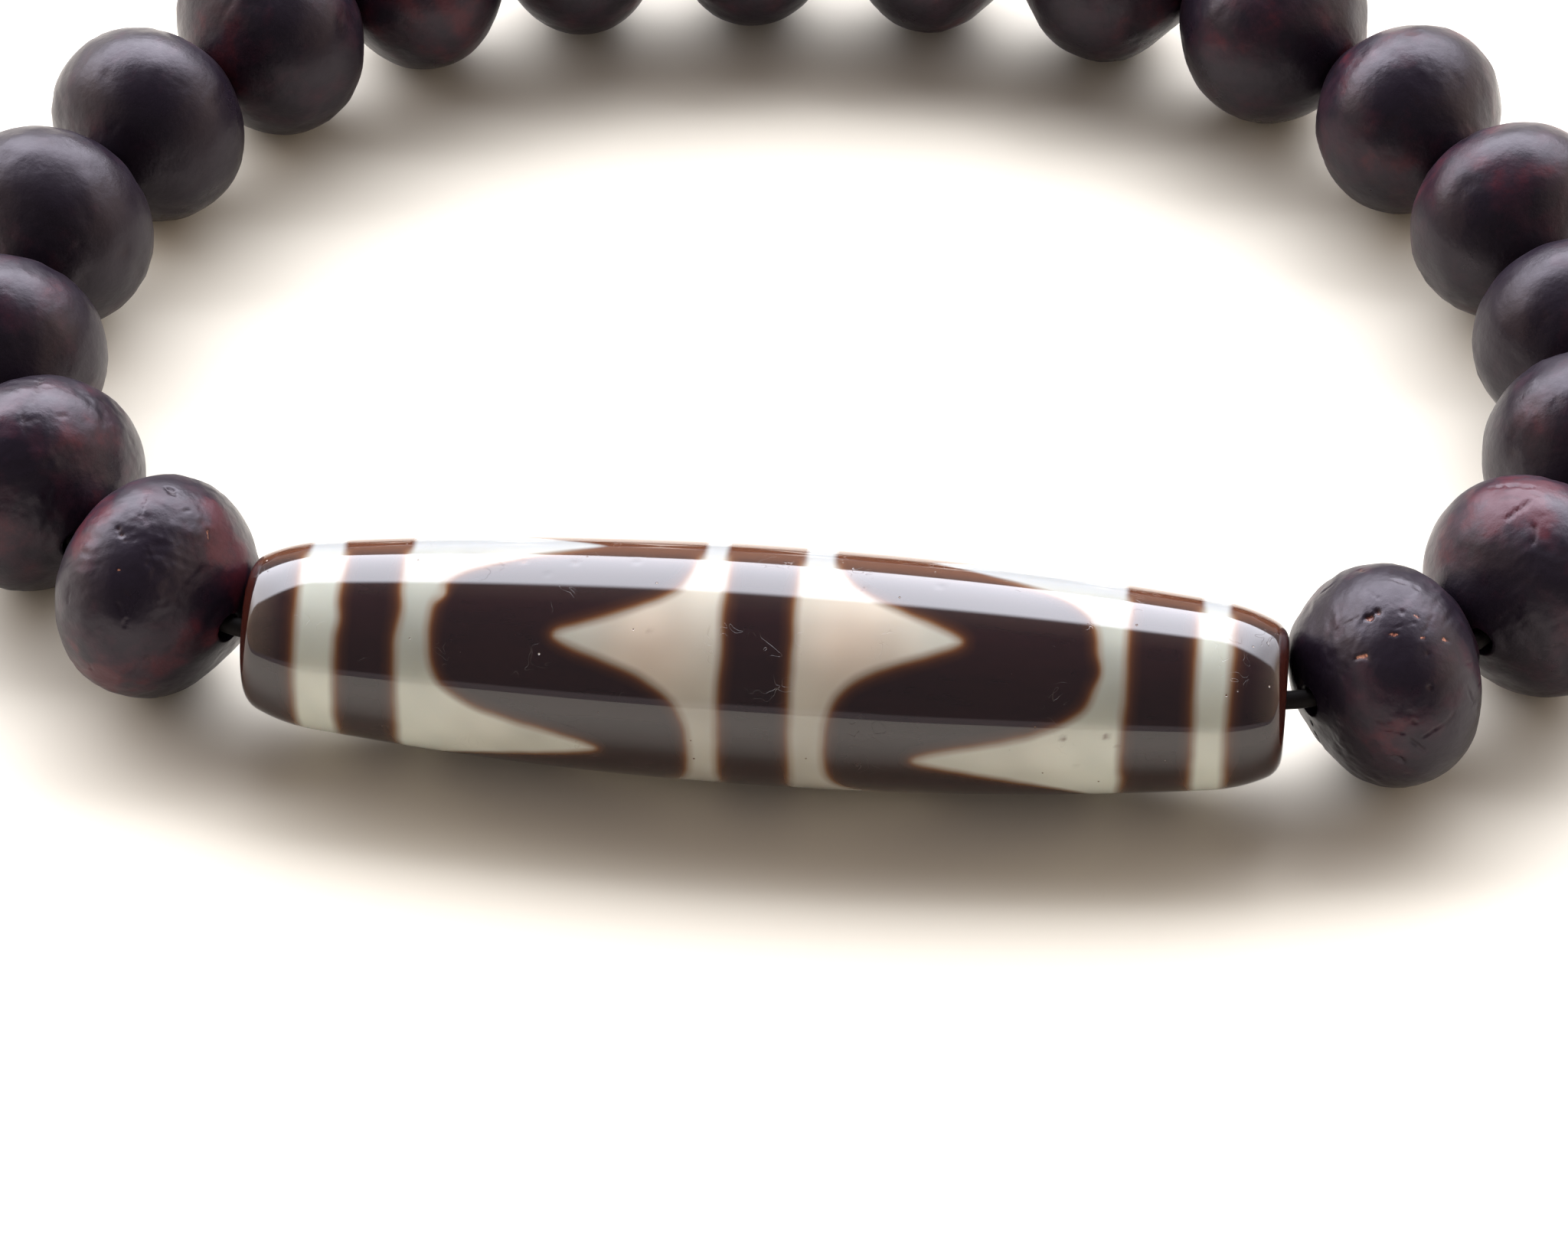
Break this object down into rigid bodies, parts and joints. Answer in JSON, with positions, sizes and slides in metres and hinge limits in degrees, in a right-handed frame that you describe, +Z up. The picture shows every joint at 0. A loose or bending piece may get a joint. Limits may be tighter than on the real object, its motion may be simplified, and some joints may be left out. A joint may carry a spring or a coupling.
{
  "type": "dzi bead bracelet",
  "caption": "Closed bracelet of one long barrel-shaped agate bead with a brown and white ring and tiger-tooth pattern, and dark round seed beads, on a hidden elastic thread, lying flat.",
  "frame": {"origin": "middle of the bracelet's footprint, on the surface that it lies on", "axes": "+X along the dzi bead, towards seed_bead_01; +Y from the dzi bead to the back of the loop; +Z up, along the axis of the wrist opening"},
  "size_m": [0.0816, 0.0597, 0.0106],
  "materials": {
    "agate": "polished, brown with white rings",
    "seed": "satin, worn by handling",
    "thread": "matt"
  },
  "bodies": {
    "root": {"dzi_bead": "agate", "seed_bead_01": "seed", "seed_bead_02": "seed", "seed_bead_03": "seed", "seed_bead_04": "seed", "seed_bead_05": "seed", "seed_bead_06": "seed", "seed_bead_07": "seed", "seed_bead_08": "seed", "seed_bead_09": "seed", "seed_bead_10": "seed", "seed_bead_11": "seed", "seed_bead_12": "seed", "seed_bead_13": "seed", "seed_bead_14": "seed", "seed_bead_15": "seed", "seed_bead_16": "seed", "seed_bead_17": "seed", "seed_bead_18": "seed", "elastic_thread": "thread"}
  },
  "joints": []
}
